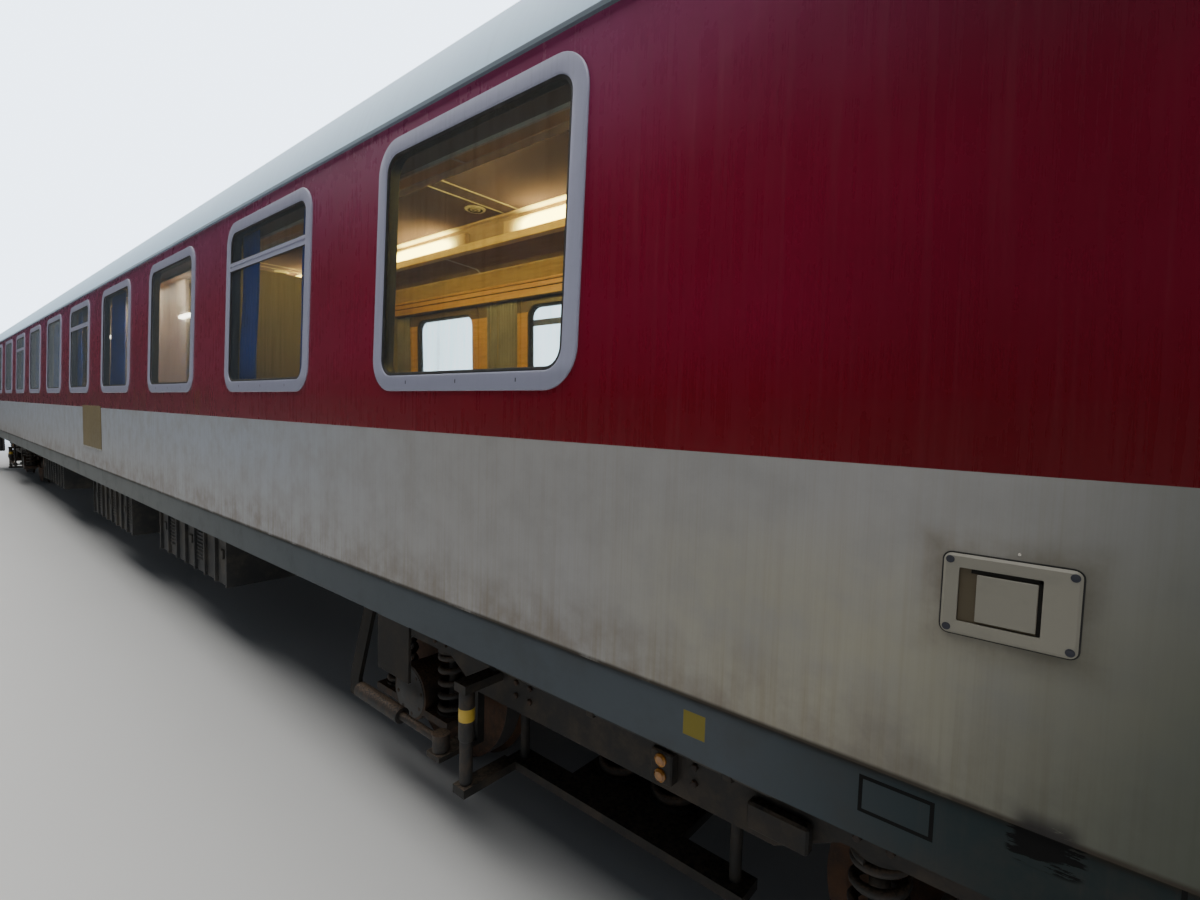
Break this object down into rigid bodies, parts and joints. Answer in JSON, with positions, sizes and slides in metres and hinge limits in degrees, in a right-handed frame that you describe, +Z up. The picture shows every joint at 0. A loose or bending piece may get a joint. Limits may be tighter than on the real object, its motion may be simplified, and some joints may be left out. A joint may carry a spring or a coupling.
{
  "type": "passenger coach",
  "caption": "Standard-gauge passenger coach with a dining room, a side corridor with compartments, folding entrance doors and two steering bogies.",
  "frame": {"origin": "on the floor under the middle of the coach, where the wheel flanges stand", "axes": "+X along the coach towards the dining room's end, +Y to the side away from the corridor, +Z up"},
  "size_m": [26.4, 2.8436, 4.0776],
  "materials": {
    "wall_paint": "gloss, dirty",
    "roof_paint": "satin, dirty",
    "frame_metal": "satin",
    "glass": "clear",
    "inner_wall": "satin",
    "ceiling": "matte",
    "floor": "matte",
    "seat_fabric": "woven",
    "table": "lacquered",
    "pelmet_wood": "lacquered",
    "curtain": "woven",
    "light": "translucent",
    "sole_paint": "satin, dirty",
    "bogie_paint": "dirty",
    "spring": "dirty",
    "wheel_steel": "rusty, worn bright on the tread",
    "brake_iron": "rough",
    "equipment": "dirty",
    "step_metal": "worn",
    "buffer_steel": "greasy",
    "rubber": "matte",
    "lamp": "gloss",
    "latch": "worn"
  },
  "bodies": {
    "coach_body": {"side_wall_near": "wall_paint", "side_wall_far": "wall_paint", "end_wall_front": "wall_paint", "end_wall_rear": "wall_paint", "roof": "roof_paint", "floor": "floor", "ceiling": "ceiling", "window_frames": "frame_metal", "window_panes": "glass", "partitions": "inner_wall", "seats": "seat_fabric", "tables": "table", "pelmets": "pelmet_wood", "curtains": "curtain", "ceiling_lights": "light", "underframe": "sole_paint", "steps": "step_metal", "buffers": "buffer_steel", "couplers": "buffer_steel", "equipment_boxes": "equipment", "air_tanks": "equipment", "gangway_bellows": "rubber", "yaw_dampers": "bogie_paint", "lamps": "lamp", "latch_plates": "latch"},
    "bogie_front": {"bogie_front_frame": "bogie_paint", "bogie_front_bolster": "bogie_paint", "bogie_front_axle_boxes": "brake_iron", "bogie_front_suspension": "spring", "bogie_front_brakes": "brake_iron"},
    "bogie_rear": {"bogie_rear_frame": "bogie_paint", "bogie_rear_bolster": "bogie_paint", "bogie_rear_axle_boxes": "brake_iron", "bogie_rear_suspension": "spring", "bogie_rear_brakes": "brake_iron"},
    "wheelset_1": {"wheelset_1": "wheel_steel"},
    "wheelset_2": {"wheelset_2": "wheel_steel"},
    "wheelset_3": {"wheelset_3": "wheel_steel"},
    "wheelset_4": {"wheelset_4": "wheel_steel"},
    "door_near_front_a": {"door_near_front_leaf_a": "wall_paint", "door_near_front_pane_a": "glass"},
    "door_near_front_b": {"door_near_front_leaf_b": "wall_paint", "door_near_front_pane_b": "glass"},
    "door_near_rear_a": {"door_near_rear_leaf_a": "wall_paint", "door_near_rear_pane_a": "glass"},
    "door_near_rear_b": {"door_near_rear_leaf_b": "wall_paint", "door_near_rear_pane_b": "glass"},
    "door_far_front_a": {"door_far_front_leaf_a": "wall_paint", "door_far_front_pane_a": "glass"},
    "door_far_front_b": {"door_far_front_leaf_b": "wall_paint", "door_far_front_pane_b": "glass"},
    "door_far_rear_a": {"door_far_rear_leaf_a": "wall_paint", "door_far_rear_pane_a": "glass"},
    "door_far_rear_b": {"door_far_rear_leaf_b": "wall_paint", "door_far_rear_pane_b": "glass"},
    "gangway_door_front": {"gangway_door_front": "frame_metal", "gangway_pane_front": "glass"},
    "gangway_door_rear": {"gangway_door_rear": "frame_metal", "gangway_pane_rear": "glass"}
  },
  "joints": [
    {"name": "bogie_front_pivot", "type": "hinge", "parent": "coach_body", "child": "bogie_front", "pos_m": [9.5, 0, 0.95], "axis": [0, 0, 1], "range_deg": [-4, 4]},
    {"name": "bogie_rear_pivot", "type": "hinge", "parent": "coach_body", "child": "bogie_rear", "pos_m": [-9.5, 0, 0.95], "axis": [0, 0, 1], "range_deg": [-4, 4]},
    {"name": "wheelset_1_spin", "type": "hinge", "parent": "bogie_front", "child": "wheelset_1", "pos_m": [10.8, 0, 0.488], "axis": [0, 1, 0], "continuous": true},
    {"name": "wheelset_2_spin", "type": "hinge", "parent": "bogie_front", "child": "wheelset_2", "pos_m": [8.2, 0, 0.488], "axis": [0, 1, 0], "continuous": true},
    {"name": "wheelset_3_spin", "type": "hinge", "parent": "bogie_rear", "child": "wheelset_3", "pos_m": [-8.2, 0, 0.488], "axis": [0, 1, 0], "continuous": true},
    {"name": "wheelset_4_spin", "type": "hinge", "parent": "bogie_rear", "child": "wheelset_4", "pos_m": [-10.8, 0, 0.488], "axis": [0, 1, 0], "continuous": true},
    {"name": "door_near_front_hinge", "type": "hinge", "parent": "coach_body", "child": "door_near_front_a", "pos_m": [12.485, -1.3505, 2.1], "axis": [0, 0, 1], "range_deg": [0, 85]},
    {"name": "door_near_front_fold", "type": "hinge", "parent": "door_near_front_a", "child": "door_near_front_b", "pos_m": [12.1035, -1.3005, 2.1], "axis": [0, 0, -1], "range_deg": [0, 170]},
    {"name": "door_near_rear_hinge", "type": "hinge", "parent": "coach_body", "child": "door_near_rear_a", "pos_m": [-12.485, -1.3505, 2.1], "axis": [0, 0, -1], "range_deg": [0, 85]},
    {"name": "door_near_rear_fold", "type": "hinge", "parent": "door_near_rear_a", "child": "door_near_rear_b", "pos_m": [-12.1035, -1.3005, 2.1], "axis": [0, 0, 1], "range_deg": [0, 170]},
    {"name": "door_far_front_hinge", "type": "hinge", "parent": "coach_body", "child": "door_far_front_a", "pos_m": [12.485, 1.3505, 2.1], "axis": [0, 0, -1], "range_deg": [0, 85]},
    {"name": "door_far_front_fold", "type": "hinge", "parent": "door_far_front_a", "child": "door_far_front_b", "pos_m": [12.1035, 1.3005, 2.1], "axis": [0, 0, 1], "range_deg": [0, 170]},
    {"name": "door_far_rear_hinge", "type": "hinge", "parent": "coach_body", "child": "door_far_rear_a", "pos_m": [-12.485, 1.3505, 2.1], "axis": [0, 0, 1], "range_deg": [0, 85]},
    {"name": "door_far_rear_fold", "type": "hinge", "parent": "door_far_rear_a", "child": "door_far_rear_b", "pos_m": [-12.1035, 1.3005, 2.1], "axis": [0, 0, -1], "range_deg": [0, 170]},
    {"name": "gangway_door_front_slide", "type": "slide", "parent": "coach_body", "child": "gangway_door_front", "axis": [0, 1, 0], "range_m": [0, 0.8]},
    {"name": "gangway_door_rear_slide", "type": "slide", "parent": "coach_body", "child": "gangway_door_rear", "axis": [0, 1, 0], "range_m": [0, 0.8]}
  ],
  "couplings": [
    {"joint": "door_near_front_fold", "follows": "door_near_front_hinge", "ratio": 2},
    {"joint": "door_near_rear_fold", "follows": "door_near_rear_hinge", "ratio": 2},
    {"joint": "door_far_front_fold", "follows": "door_far_front_hinge", "ratio": 2},
    {"joint": "door_far_rear_fold", "follows": "door_far_rear_hinge", "ratio": 2}
  ]
}
